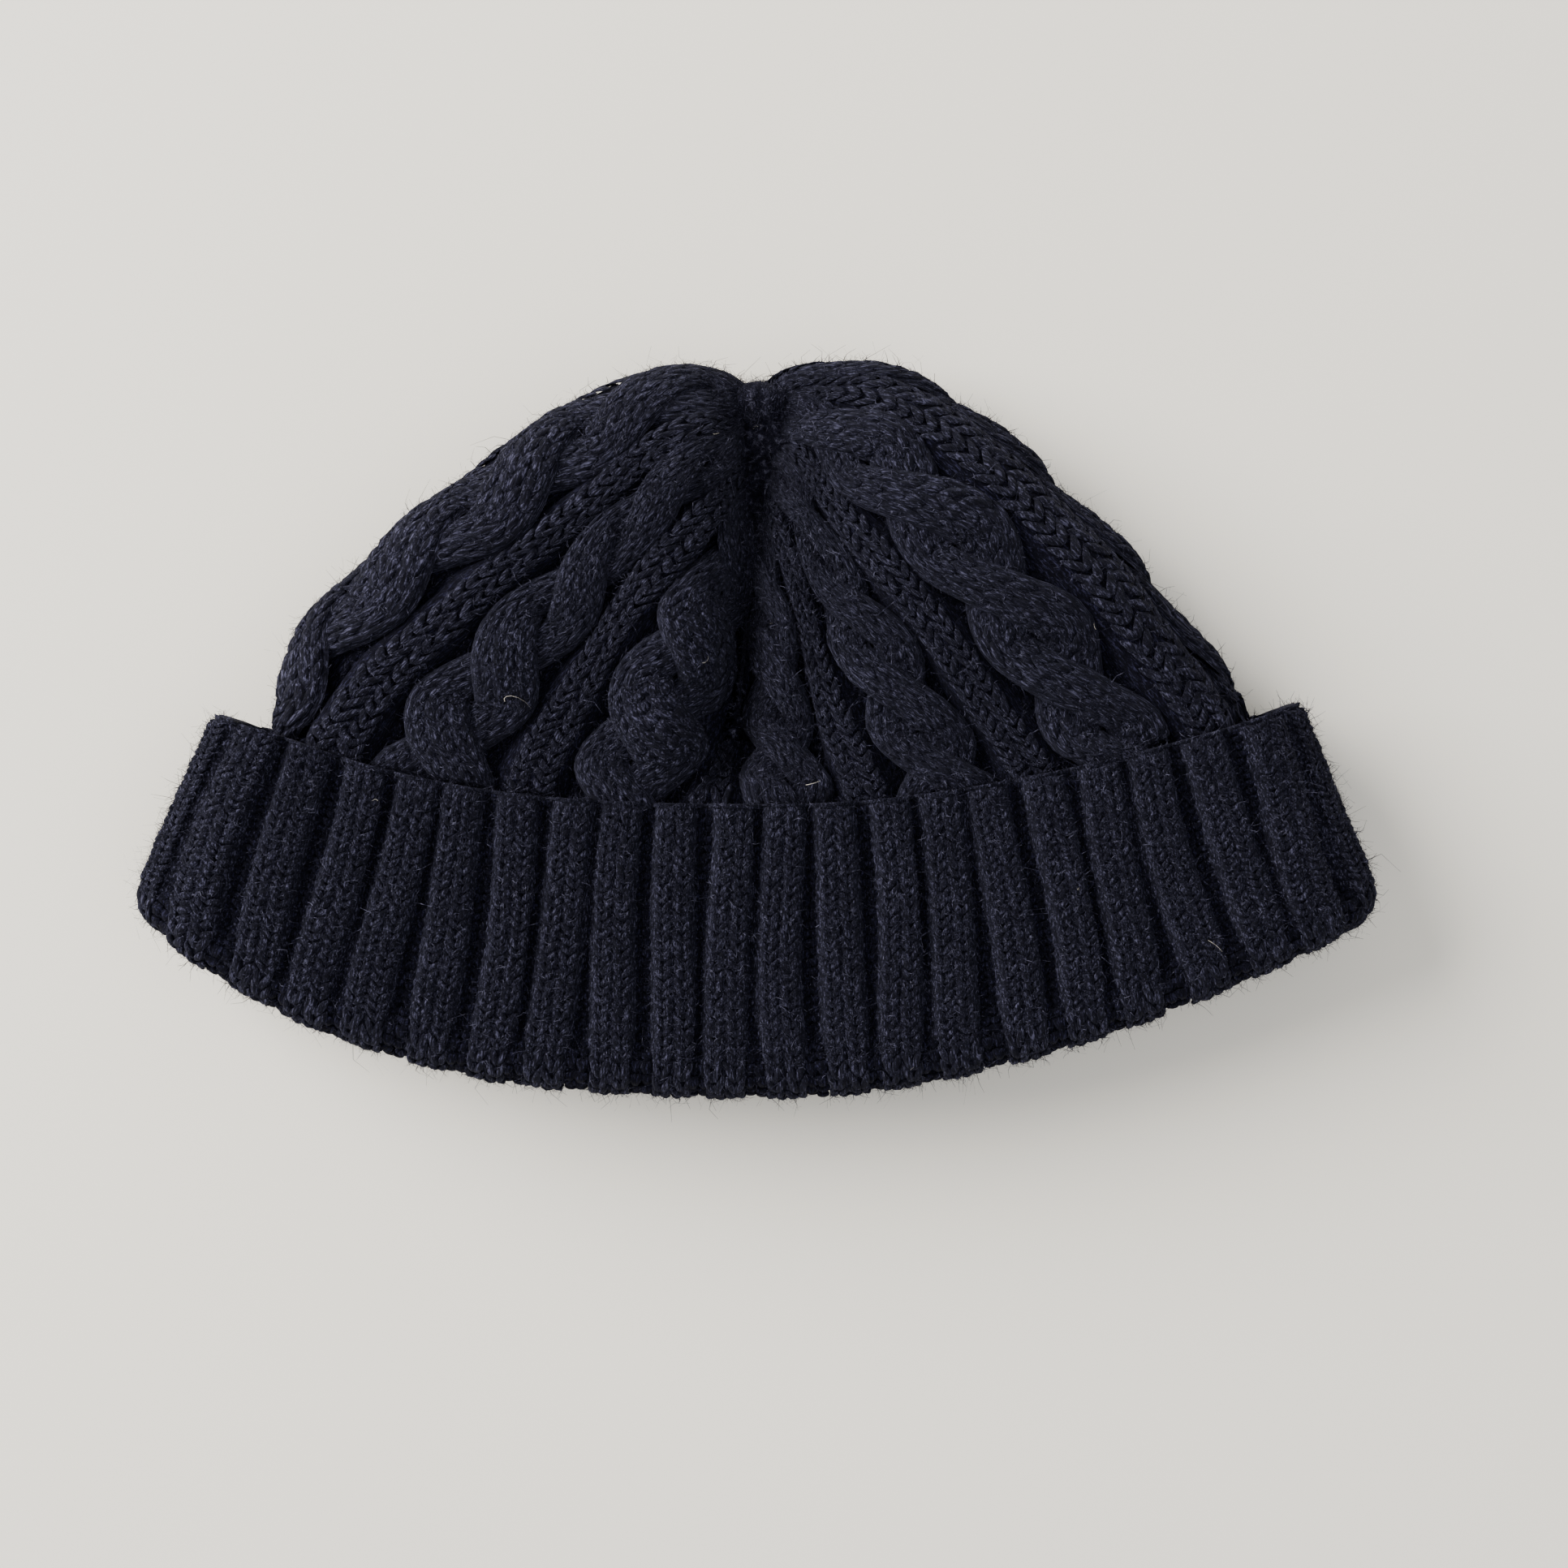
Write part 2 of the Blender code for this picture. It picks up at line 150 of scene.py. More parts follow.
# inner surface of the crown along one row
def crownPoints(c, t):
    left, middle, right = crownRow(t)
    share = max(t, 0.0)
    turn = crownForm["sideTurn"] * min(1.0, share * 2.0)
    c = (c + turn) % repeats - turn
    width = np.linalg.norm(right - left)
    edge = min(crownForm["inner"] * 1.5, width * 0.45)
    front = c <= crownForm["frontSpan"]
    knots = np.array([-turn] + [i + ribAt for i in range(6)] + [crownForm["frontSpan"]])
    ribShares = [a + (b - a) * share for a, b in zip(ribShareAtCuff, ribShareAtTop)]
    shares = np.array([0.0] + ribShares + [1.0])
    fFront = hermite(knots, shares, np.minimum(c, crownForm["frontSpan"]))
    d = np.minimum(fFront, 1 - fFront) * width / edge
    gFront = np.sqrt(np.maximum(0.0, 1 - (1 - np.minimum(d, 1.0)) ** 2))
    q = np.clip((c - crownForm["frontSpan"]) / (repeats - turn - crownForm["frontSpan"]), 0, 1)
    fBack, gBack = roundedShare(1 - q, edge / width)
    f = np.where(front, fFront, fBack)[:, None]
    control = 2 * middle - (left + right) / 2
    xy = (1 - f) ** 2 * left + 2 * f * (1 - f) * control + f * f * right
    lift = (crownForm["inner"] + smoothCurve(frontRise, share)) * gFront
    sink = (crownForm["inner"] - smoothCurve(backSag, share)) * gBack
    z = midLevel - 0.6 * share + np.where(front, lift, -sink)
    crease = min(share / 0.2, 1.0) ** 0.7 * min(1.0, (1.04 - share) / 0.16)
    off = creaseOffset(xy[:, 0], share)
    fold = 6.0 * np.exp(-(off / 7.0) ** 2) + 4.0 * np.exp(-((off - 12.0) / 10.0) ** 2)
    fold = fold - 2.2 * np.exp(-((off + 13.0) / 7.0) ** 2)
    z = z - np.where(front, crease * fold * gFront, 0.0)
    return np.column_stack([xy, z])


cuffForm = {"foldWidth": 233.0, "edgeWidth": 201.0, "depth": 53.2, "sideDepth": 37.5, "sag": 33.0,
            "thick": 4.5, "inner": 11.8, "cornerFrom": 0.86, "cornerDrop": 2.2}
liningForm = {"inner": 4.2, "nose": 0.10, "hemGap": 0.5, "hemTaper": 7.0}


def cuffPoints(c, b, halfWidth, height):
    share = (c % cuffRibs) / cuffRibs
    q = np.where(share < 0.5, share * 2, 2 - share * 2)
    f, g = roundedShare(q, height * 1.05 / (2 * halfWidth))
    x = 2 * f - 1
    low = cuffEdgeMid - cuffForm["depth"] + cuffForm["depth"] * b
    rise = cuffForm["sag"] + (cuffForm["sideDepth"] - cuffForm["depth"]) * b
    y = low + rise * np.abs(x) ** (2.3 - 0.5 * np.tanh(3 * x))
    corner = np.clip((-x - cuffForm["cornerFrom"]) / 0.14, 0, 1)
    y = y - cuffForm["cornerDrop"] * b * corner ** 1.4
    return np.column_stack([halfWidth * x, y, midLevel + np.where(share < 0.5, height * g, -height * g)])


def outerCuff(c, b):
    k = cuffForm
    half = k["foldWidth"] / 2 + (k["edgeWidth"] - k["foldWidth"]) / 2 * b - k["thick"]
    return cuffPoints(c, b, half, k["inner"])


def lining(c, b):
    atFold = cuffForm["foldWidth"] / 2 - cuffForm["thick"] - (cuffForm["inner"] - liningForm["inner"])
    atHem = crownForm["width"] / 2 - crownForm["relief"] + liningForm["hemGap"]
    places = [liningForm["nose"], 0.30, 1.0]
    half = np.interp(b, places, [atFold, atHem, atHem - liningForm["hemTaper"]])
    return cuffPoints(c, b, half, liningForm["inner"])


# outward normals of a grid of points that closes on itself round the hat
def normalsOf(points):
    across = np.roll(points, -1, axis=0) - np.roll(points, 1, axis=0)
    along = np.gradient(points, axis=1)
    n = np.cross(across, along)
    return n / np.maximum(np.linalg.norm(n, axis=2, keepdims=True), 1e-9)


# surface sampled once: points and normals over places c round the hat and rows t up it
def gridOf(rowPoints, around, samples, rows):
    cs = np.arange(samples) * around / samples
    points = np.stack([rowPoints(cs, t) for t in rows], axis=1)
    return {"around": around, "rows": rows, "points": points, "normals": normalsOf(points)}


# world places for points at c, t and height h above a sampled surface, in metres
def onGrid(grid, c, t, h):
    n = grid["points"].shape[0]
    ci = (c / grid["around"] * n) % n
    i0 = ci.astype(int) % n
    i1 = (i0 + 1) % n
    fi = (ci - np.floor(ci))[:, None]
    rows = grid["rows"]
    ti = np.interp(t, rows, np.arange(len(rows)))
    j0 = np.clip(ti.astype(int), 0, len(rows) - 2)
    fj = (ti - j0)[:, None]
    out = []
    for key in ("points", "normals"):
        g = grid[key]
        a = g[i0, j0] * (1 - fi) + g[i1, j0] * fi
        b = g[i0, j0 + 1] * (1 - fi) + g[i1, j0 + 1] * fi
        out.append(a * (1 - fj) + b * fj)
    normal = out[1] / np.maximum(np.linalg.norm(out[1], axis=1, keepdims=True), 1e-9)
    return (out[0] + normal * h[:, None]) * mm, normal


print("surfaces")
crownGrid = gridOf(crownPoints, repeats, repeats * 40, np.linspace(-1.0, 0.99, 150))


# row and height down the outside of the cuff and round the fold: y = 0 at the free edge, 1 at the fold
def cuffProfile(y):
    if y <= 0.95:
        return 1.0 - y * (0.885 / 0.95), 0.0
    turn = min((y - 0.95) / 0.22, 1.0) * math.pi
    return 0.115 - 0.055 * math.sin(turn), -3.75 * (1 - math.cos(turn))


def cuffSurfaceRow(c, y):
    b, h = cuffProfile(y)
    here = outerCuff(c, b)
    grid = np.stack([outerCuff(c, b - 0.01), here, outerCuff(c, b + 0.01)], axis=1)
    return here + normalsOf(grid)[:, 1] * h


cuffGrid = gridOf(cuffSurfaceRow, cuffRibs, cuffRibs * 12, np.linspace(0.0, 1.17, 118))
cuffGrid["normals"] *= -1
liningGrid = gridOf(lining, cuffRibs, cuffRibs * 8, np.linspace(liningForm["nose"], 0.72, 24))


def srgb(code):
    value = [int(code[i:i + 2], 16) / 255 for i in (1, 3, 5)]
    return tuple(v / 12.92 if v <= 0.04045 else ((v + 0.055) / 1.055) ** 2.4 for v in value) + (1.0,)


def addNode(tree, kind, settings=None, inputs=None, links=None):
    node = tree.nodes.new(kind)
    for key, value in (settings or {}).items():
        setattr(node, key, value)
    for key, value in (inputs or {}).items():
        node.inputs[key].default_value = value
    for key, source in (links or {}).items():
        tree.links.new(source, node.inputs[key])
    return node


# a fibre is about 0.15 mm wide to the eye and six times as long; the grain runs in millimetres
woolLook = {"grainScale": (1.0, 0.28, 0.6), "looseScale": (900.0, 900.0, 900.0), "fibreScale": 4.2,
            "bend": 0.22, "darkTo": 0.38, "middleAt": 0.53, "bumpDepth": 0.0006, "roughness": 0.95,
            "specular": 0.06, "bloomRoughness": 0.5, "bloomColour": "#8b8fae"}


# felted wool: matt, streaked along its stitches with paler fibres, with a soft bloom where the nap turns
def woolMaterial(name, dark, mid, light, lightFrom=0.68, fuzz=0.35, grain=True):
    k = woolLook
    m = bpy.data.materials.new(name)
    m.use_nodes = True
    tree = m.node_tree
    shader = tree.nodes["Principled BSDF"]
    if grain:
        place = addNode(tree, "ShaderNodeAttribute", {"attribute_name": "woolGrain"}).outputs["Vector"]
    else:
        place = addNode(tree, "ShaderNodeTexCoord").outputs["Object"]
    along = addNode(tree, "ShaderNodeMapping", {}, {"Scale": k["grainScale" if grain else "looseScale"]},
                    {"Vector": place})
    warp = addNode(tree, "ShaderNodeTexNoise", {}, {"Scale": 0.9, "Detail": 1.0}, {"Vector": place})
    bent = addNode(tree, "ShaderNodeMix", {"data_type": "VECTOR"}, {"Factor": k["bend"]},
                   {"A": along.outputs["Vector"], "B": warp.outputs["Color"]})
    fibres = addNode(tree, "ShaderNodeTexNoise", {},
                     {"Scale": k["fibreScale"] if grain else 1.0, "Detail": 4.0, "Roughness": 0.72},
                     {"Vector": bent.outputs[1]})
    ramp = addNode(tree, "ShaderNodeValToRGB", links={"Fac": fibres.outputs["Fac"]})
    ramp.color_ramp.elements[0].position = k["darkTo"]
    ramp.color_ramp.elements[0].color = srgb(dark)
    ramp.color_ramp.elements[1].position = lightFrom
    ramp.color_ramp.elements[1].color = srgb(light)
    middle = ramp.color_ramp.elements.new(k["middleAt"])
    middle.color = srgb(mid)
    tree.links.new(ramp.outputs["Color"], shader.inputs["Base Color"])
    bump = addNode(tree, "ShaderNodeBump", {}, {"Strength": 1.0, "Distance": k["bumpDepth"]},
                   {"Height": fibres.outputs["Fac"]})
    tree.links.new(bump.outputs["Normal"], shader.inputs["Normal"])
    shader.inputs["Roughness"].default_value = k["roughness"]
    shader.inputs["Specular IOR Level"].default_value = k["specular"]
    shader.inputs["Sheen Weight"].default_value = fuzz
    shader.inputs["Sheen Roughness"].default_value = k["bloomRoughness"]
    shader.inputs["Sheen Tint"].default_value = srgb(k["bloomColour"])
    return m


wool = woolMaterial("navy_felted_wool_heather", "#06060c", "#11111c", "#4b4b62", lightFrom=0.66, fuzz=0.1)
# the same navy wool in darker colours: painted shade for the purl ground, the crown's under-fabric, the
# cuff's valleys and the lining, which lie sunk between columns and inside the cuff
shadedGroundWool = woolMaterial("navy_wool_ground_painted_shade", "#030309", "#090914", "#2d2d45", fuzz=0.04)
hairWool = woolMaterial("navy_loose_wool_fibre", "#0a0a12", "#191926", "#56566a", lightFrom=0.68,
                        fuzz=0.05, grain=False)


stitchForm = {"leanDegrees": 31, "overlap": 1.45, "fill": 1.2, "plump": 1.05, "bow": 0.16}


# a knit stitch, one wale wide: two plump legs that lean apart as they rise
def knitTile(width, rowHeight, thick):
    k = stitchForm
    lean = math.radians(k["leanDegrees"])
    length = rowHeight / math.cos(lean) * k["overlap"]
    fat = rowHeight * math.sin(lean) * k["fill"] * k["plump"]
    bm = bmesh.new()
    bmesh.ops.create_uvsphere(bm, u_segments=6, v_segments=5, radius=0.5)
    for v in bm.verts:
        x, y, z = v.co
        plump = fat * (1.08 - 0.35 * z)
        v.co = (width * 0.25 + z * length * math.sin(lean) * width / 3.5 + x * plump * math.cos(lean),
                rowHeight * 0.5 + z * length * math.cos(lean) - x * plump * math.sin(lean),
                y * thick + k["bow"] * thick * math.cos(math.pi * z))
    copied = bmesh.ops.duplicate(bm, geom=list(bm.verts) + list(bm.edges) + list(bm.faces))
    twins = [g for g in copied["geom"] if isinstance(g, bmesh.types.BMVert)]
    bmesh.ops.scale(bm, vec=(-1, 1, 1), verts=twins)
    flipped = [g for g in copied["geom"] if isinstance(g, bmesh.types.BMFace)]
    bmesh.ops.reverse_faces(bm, faces=flipped)
    return bm


# a purl stitch: one low arched bump lying across its wale
def purlTile(width, rowHeight, thick):
    bm = bmesh.new()
    bmesh.ops.create_uvsphere(bm, u_segments=6, v_segments=5, radius=0.5)
    for v in bm.verts:
        x, y, z = v.co
        v.co = (z * width * 1.1, x * rowHeight * 0.95 - 1.2 * (z * z - 0.08) * rowHeight, y * thick)
    return bm


# array of one stitch; gives the mesh, each vertex's place in its stitch, and its column and row
def tiled(name, tile, columns, rows):
    base = bpy.data.meshes.new(name + "_stitch")
    bmesh.ops.recalc_face_normals(tile, faces=tile.faces)
    tile.to_mesh(base)
    tile.free()
    count = len(base.vertices)
    thing = bpy.data.objects.new(name, base)
    bpy.context.scene.collection.objects.link(thing)
    for number in (columns, rows):
        array = thing.modifiers.new("array", "ARRAY")
        array.count = number
        array.use_relative_offset = False
        array.use_constant_offset = True
        array.constant_offset_displace = (1.0, 0.0, 0.0)
    graph = bpy.context.evaluated_depsgraph_get()
    mesh = bpy.data.meshes.new_from_object(thing.evaluated_get(graph))
    thing.modifiers.clear()
    thing.data = mesh
    mesh.name = name
    index = np.arange(len(mesh.vertices)) // count
    local = np.zeros(count * 3)
    base.vertices.foreach_get("co", local)
    local = np.tile(local.reshape(-1, 3), (columns * rows, 1))
    return thing, local, index % columns, index // columns


# small differences from stitch to stitch, as hand-fed wool has
def jitter(index, local, amount=0.09, turn=4.0, grow=0.06):
    n = index.max() + 1
    angle = np.radians(rng.normal(0, turn, n))[index]
    size = (1 + rng.normal(0, grow, n))[index]
    x, y, z = local.T
    return np.column_stack([
        (x * np.cos(angle) - y * np.sin(angle)) * size + rng.normal(0, amount, n)[index],
        (x * np.sin(angle) + y * np.cos(angle)) * size + rng.normal(0, amount, n)[index],
        z * size + rng.normal(0, amount, n)[index]])


grown = {"crown": [], "cuff": []}  # places where hairs may root


# the fold down the middle of the front pulls stitches and fabric down together
def pressCrease(co):
    k = creaseFold
    share = np.clip((co[:, 1] / mm - cuffEdgeMid) / crownForm["height"], 0.0, 1.0)
    off = creaseOffset(co[:, 0] / mm, share)
    amount = np.clip(share / 0.16, 0, 1) * np.clip((1.08 - share) / 0.2, 0, 1)
    front = np.clip((co[:, 2] / mm - midLevel + 2.0) / 6.0, 0.0, 1.0)
    steep = np.where(off < 0, k["widthMm"] * 0.8, k["widthMm"] * 1.5)
    sunk = co[:, 2] - k["depthMm"] * mm * amount * front * np.exp(-(off / steep) ** 2)
    co[:, 2] = np.maximum(sunk, np.minimum(co[:, 2], (midLevel + k["aboveMiddleMm"]) * mm))


# where the fabric leaves the cuff, and where the crown above starts: world y, metres; crown pieces that
# reach below the first are left without a body
fabricBend = {"cuffBelow": 0.002, "crownAbove": 0.030}


# final places, material, grain and body of a piece
def settle(thing, placed, surface, body, nodes=(), grain=None, hairy=False, pressed=True, bends=True):
    co, outward = placed
    if body == "crown" and pressed:
        pressCrease(co)
    co[:, 2] = np.maximum(co[:, 2], 0.00005)
    mesh = thing.data
    mesh.vertices.foreach_set("co", co.astype(np.float32).ravel())
    mesh.update()
    mesh.materials.clear()
    mesh.materials.append(surface)
    mesh.polygons.foreach_set("use_smooth", np.ones(len(mesh.polygons), bool))
    if grain is not None:
        woolGrain = mesh.attributes.new("woolGrain", "FLOAT_VECTOR", "POINT")
        woolGrain.data.foreach_set("vector", np.column_stack(grain).astype(np.float32).ravel())
    if hairy:
        normals = np.zeros(len(mesh.vertices) * 3)
        mesh.vertices.foreach_get("normal", normals)
        normals = normals.reshape(-1, 3)
        seen = np.flatnonzero((normals * outward).sum(axis=1) > 0.35)
        grown[body].append((co[seen], normals[seen]))
    if nodes:
        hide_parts(*nodes)
    if body == "crown" and bends and co[:, 1].min() < fabricBend["cuffBelow"]:
        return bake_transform(thing)
    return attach(thing, body)


crownRows = 38  # knitted rows from the cuff's edge to the top
pitchMm = 32.7  # one repeat at the cuff


# width of one repeat at a row, as a share of its width at the cuff
def localPitch(t):
    return np.interp(t, [0.0, 0.3, 0.6, 0.8, 0.9, 1.0], [1.0, 0.86, 0.56, 0.32, 0.18, 0.08])


# 0 where the cuff lies on the crown, 1 where the columns stand free
def pressedIn(t):
    x = np.clip((t + 0.07) / 0.1, 0.0, 1.0)
    return x * x * (3 - 2 * x)


def pressedShare(t, least):
    return least + (1.0 - least) * pressedIn(t)


# columns keep more of their width than the crown does as it narrows, so they press together
def widen(t, keep=0.3):
    return 1.06 * np.maximum(localPitch(t), 0.12) ** -keep


# rounded rib: place and height for a distance s round its section, and the way it faces there
def arch(s, half, stretch, rise):
    turn = np.clip(s / stretch, -1.42, 1.42)
    x = half * np.sin(turn) + (s - turn * stretch)
    z = rise * np.cos(turn) ** 0.8
    dx = half * np.cos(turn) / stretch
    dz = -0.8 * rise * np.sin(turn) * np.cos(turn) ** -0.2 / stretch
    size = np.hypot(dx, dz)
    return x, z, -dz / size, dx / size


# height of the same rounded rib for a place x across it
def archHeight(x, half, rise):
    return rise * np.maximum(1 - (x / half) ** 2, 0.0) ** 0.4


ribKnit = {"waleMm": 4.7, "rowMm": 2.2, "thickMm": 0.7, "halfMm": 5.9, "stretchMm": 6.4, "riseMm": 4.3,
           "grooveMm": 0.6, "grooveHalfMm": 0.8, "firstT": -0.42, "lastT": 0.985}


def crownRib(i):
    k = ribKnit
    rows = round((k["lastT"] - k["firstT"]) * crownRows)
    stitch = knitTile(k["waleMm"], k["rowMm"], k["thickMm"])
    thing, local, col, row = tiled("crown_rib_knit_%02d" % (i + 1), stitch, 2, rows)
    local = jitter(row * 2 + col, local)
    t = k["firstT"] + (row + local[:, 1] / k["rowMm"]) / crownRows
    s = (col - 0.5) * k["waleMm"] + local[:, 0]
    x, z, faceX, faceZ = arch(s, k["halfMm"], k["stretchMm"], k["riseMm"])
    z = z - k["grooveMm"] * np.exp(-(s / k["grooveHalfMm"]) ** 2)
    tall = columnFade(t) * pressedShare(t, 0.42)
    h = crownForm["fabric"] + (z + local[:, 2] * faceZ) * tall
    c = i + ribAt + (x + local[:, 2] * faceX) / pitchMm * widen(t)
    settle(thing, onGrid(crownGrid, c, t, h), wool, "crown", ["crown_rib_%02d" % (i + 1)],
           (s + 40.0 * i, t * crownRows * k["rowMm"], local[:, 2]), hairy=True)


cableKnit = {"waleMm": 3.5, "rowMm": 2.2, "thickMm": 0.95, "swingMm": 5.2, "rowsPerCross": 7.9,
             "lowMm": 0.1, "highMm": 2.7, "halfMm": 4.9, "stretchMm": 5.2, "riseMm": 3.1, "sharp": 0.96,
             "widthKeep": 0.2, "coreMm": 14.4, "firstT": -0.42, "lastT": 0.985}


# middle of one strand: its place across the cable, slope, and height as it goes over and under
def strandPath(t, phase, strand):
    k = cableKnit
    turn = math.pi * (t * crownRows / k["rowsPerCross"] + phase + strand)
    step = math.pi / (k["rowsPerCross"] * k["rowMm"])
    straight = np.arcsin(k["sharp"] * np.cos(turn)) / math.asin(k["sharp"])
    x = k["swingMm"] * (0.5 * np.cos(turn) + 0.5 * straight)
    bend = np.sqrt(1 - (k["sharp"] * np.cos(turn)) ** 2)
    steep = k["sharp"] * np.sin(turn) / bend / math.asin(k["sharp"])
    slope = -k["swingMm"] * (0.5 * np.sin(turn) + 0.5 * steep) * step
    over = 0.5 + 0.5 * np.sin(turn)
    return x, slope, k["lowMm"] + (k["highMm"] - k["lowMm"]) * over


# fabric place of a point at s across a strand and lift above its rounded face
def onCable(i, phase, strand, s, t, lift):
    k = cableKnit
    middle, slope, height = strandPath(t, phase, strand)
    angle = np.arctan(slope)
    x, z, faceX, faceZ = arch(s, k["halfMm"], k["stretchMm"], k["riseMm"])
    across = x + lift * faceX
    tAll = t - across * np.sin(angle) / (crownRows * k["rowMm"])
    c = i + cableAt + (middle + across * np.cos(angle)) / pitchMm * widen(tAll, k["widthKeep"])
    tall = columnFade(tAll) * pressedShare(tAll, 0.36)
    return c, tAll, crownForm["fabric"] + (height + z + lift * faceZ) * tall


cablePhase = [0.35 * i + 0.13 for i in range(repeats)]


# two strands of three wales that cross over and over to the same hand
def crownCable(i):
    k = cableKnit
    rows = round((k["lastT"] - k["firstT"]) * crownRows)
    stitch = knitTile(k["waleMm"], k["rowMm"], k["thickMm"])
    thing, local, col, row = tiled("cable_knit_%02d" % (i + 1), stitch, 6, rows)
    local = jitter(row * 6 + col, local)
    s = (col % 3 - 1) * k["waleMm"] + local[:, 0]
    t = k["firstT"] + (row + local[:, 1] / k["rowMm"]) / crownRows
    c, tAll, h = onCable(i, cablePhase[i], col // 3, s, t, local[:, 2])
    settle(thing, onGrid(crownGrid, c, tAll, h), wool, "crown", ["crown_cable_%02d" % (i + 1)],
           (s + 40.0 * i + 20.0 * (col // 3), t * crownRows * k["rowMm"], local[:, 2]), hairy=True)


# fabric inside the strands, so that no gap shows between stitches
def cableCores():
    k = cableKnit
    bm = bmesh.new()
    bmesh.ops.create_grid(bm, x_segments=12, y_segments=90, size=0.5)
    thing, local, col, row = tiled("cable_cores", bm, repeats, 2)
    s = local[:, 0] * k["coreMm"]
    t = k["firstT"] + (k["lastT"] - k["firstT"] - 0.02) * (local[:, 1] + 0.5)
    phase = np.array(cablePhase)[col]
    c, tAll, h = onCable(col, phase, row, s, t, np.full(len(s), 0.0))
    settle(thing, onGrid(crownGrid, c, tAll, h), wool, "crown", (),
           (s + 40.0 * col + 20.0 * row, t * crownRows * k["rowMm"], h))


print("crown")
for i in range(repeats):
    crownRib(i)
    crownCable(i)
cableCores()


# fabric layer under the stitches: an outer face that follows a relief, turned in at both ends
def sheetOf(name, grid, cSamples, rows, height, surface, body, nodes=(), sizeMm=(pitchMm, 84.0)):
    section = [(t, True) for t in rows] + [(t, False) for t in reversed(rows[::5])]
    bm = bmesh.new()
    bmesh.ops.create_grid(bm, x_segments=cSamples, y_segments=len(section), size=1.0)
    mesh = bpy.data.meshes.new(name)
    bm.to_mesh(mesh)
    bm.free()
    co = np.zeros(len(mesh.vertices) * 3)
    mesh.vertices.foreach_get("co", co)
    co = co.reshape(-1, 3)
    i = np.rint((co[:, 0] + 1) / 2 * cSamples).astype(int) % cSamples
    j = np.rint((co[:, 1] + 1) / 2 * len(section)).astype(int) % len(section)
    c = i * grid["around"] / cSamples
    t = np.array([s[0] for s in section])[j]
    outer = np.array([s[1] for s in section])[j]
    h = np.where(outer, height(c, t), 0.0)
    places, outward = onGrid(grid, c, t, h)
    mesh.vertices.foreach_set("co", places.astype(np.float32).ravel())
    woolGrain = mesh.attributes.new("woolGrain", "FLOAT_VECTOR", "POINT")
    grain = np.column_stack([c * sizeMm[0], t * sizeMm[1], h])
    woolGrain.data.foreach_set("vector", grain.astype(np.float32).ravel())
    bm = bmesh.new()
    bm.from_mesh(mesh)
    bmesh.ops.remove_doubles(bm, verts=bm.verts, dist=1e-6)
    bmesh.ops.recalc_face_normals(bm, faces=bm.faces)
    bm.to_mesh(mesh)
    bm.free()
    thing = bpy.data.objects.new(name, mesh)
    bpy.context.scene.collection.objects.link(thing)
    welded = np.zeros(len(mesh.vertices) * 3)
    mesh.vertices.foreach_get("co", welded)
    settle(thing, (welded.reshape(-1, 3), None), surface, body, nodes)


# height of the fabric under the crown's stitches
def crownUnder(c, t):
    x = ((c - ribAt + 0.5) % 1.0 - 0.5) * pitchMm / widen(t)
    k = ribKnit
    rib = archHeight(x, k["halfMm"], k["riseMm"]) - 0.3
    tall = columnFade(t) * pressedShare(t, 0.42)
    return 1.6 + np.maximum(rib, 0.0) * tall


groundNodes = ["crown_ground_%02d" % (i + 1) for i in range(repeats)]
# the crown's under-fabric is in the darker wool: painted shade under the columns
sheetOf("crown_fabric_knit", crownGrid, repeats * 32, list(np.linspace(-0.95, 0.965, 70)), crownUnder,
        shadedGroundWool, "crown", groundNodes)

purlKnit = {"waleMm": 2.0, "rowMm": 2.1, "thickMm": 1.5, "apartMm": 14.2, "heightMm": 1.6, "firstT": -0.1,
            "lastT": 0.9}


# purl ground between the columns, one wale on each side, in the darker wool as painted shade
def crownPurl():
    k = purlKnit
    rows = round((k["lastT"] - k["firstT"]) * crownRows)
    thing, local, col, row = tiled("crown_purl_ground", purlTile(k["waleMm"], k["rowMm"], k["thickMm"]),
                                   repeats * 2, rows)
    local = jitter(row * repeats * 2 + col, local, amount=0.15)
    t = k["firstT"] + (row + local[:, 1] / k["rowMm"]) / crownRows
    across = (col % 2 - 0.5) * k["apartMm"] + local[:, 0]
    c = col // 2 + ribAt + across / pitchMm * widen(t)
    settle(thing, onGrid(crownGrid, c, t, k["heightMm"] + local[:, 2]), shadedGroundWool, "crown", (),
           (c * pitchMm, t * crownRows * k["rowMm"], local[:, 2]), hairy=True)


crownPurl()


gatherKnit = {"segments": 66, "rings": 32, "pleatDepth": 0.16, "grow": 1.1, "offsetMm": (0.3, 2.6, 1.5),
              "grainMm": 12}


# last stitches of the crown, drawn into a small closed rosette
def crownGather():
    k = gatherKnit
    low, high = (np.array(corner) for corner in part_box("crown_gather"))
    bm = bmesh.new()
    bmesh.ops.create_uvsphere(bm, u_segments=k["segments"], v_segments=k["rings"], radius=0.5)
    for v in bm.verts:
        x, y, z = v.co
        turn = math.atan2(z, x)
        fold = 1 + k["pleatDepth"] * math.cos(repeats * turn) * (1 - (2 * abs(y)) ** 2)
        v.co = (x * fold, y, z * fold)
    thing, local, col, row = tiled("crown_gather_knit", bm, 1, 1)
    place = (low + high) / 2 + local * (high - low) * k["grow"] + np.array(k["offsetMm"]) * mm
    settle(thing, (place, local), wool, "crown", ["crown_gather"], local.T * k["grainMm"], hairy=True,
           pressed=False)


crownGather()


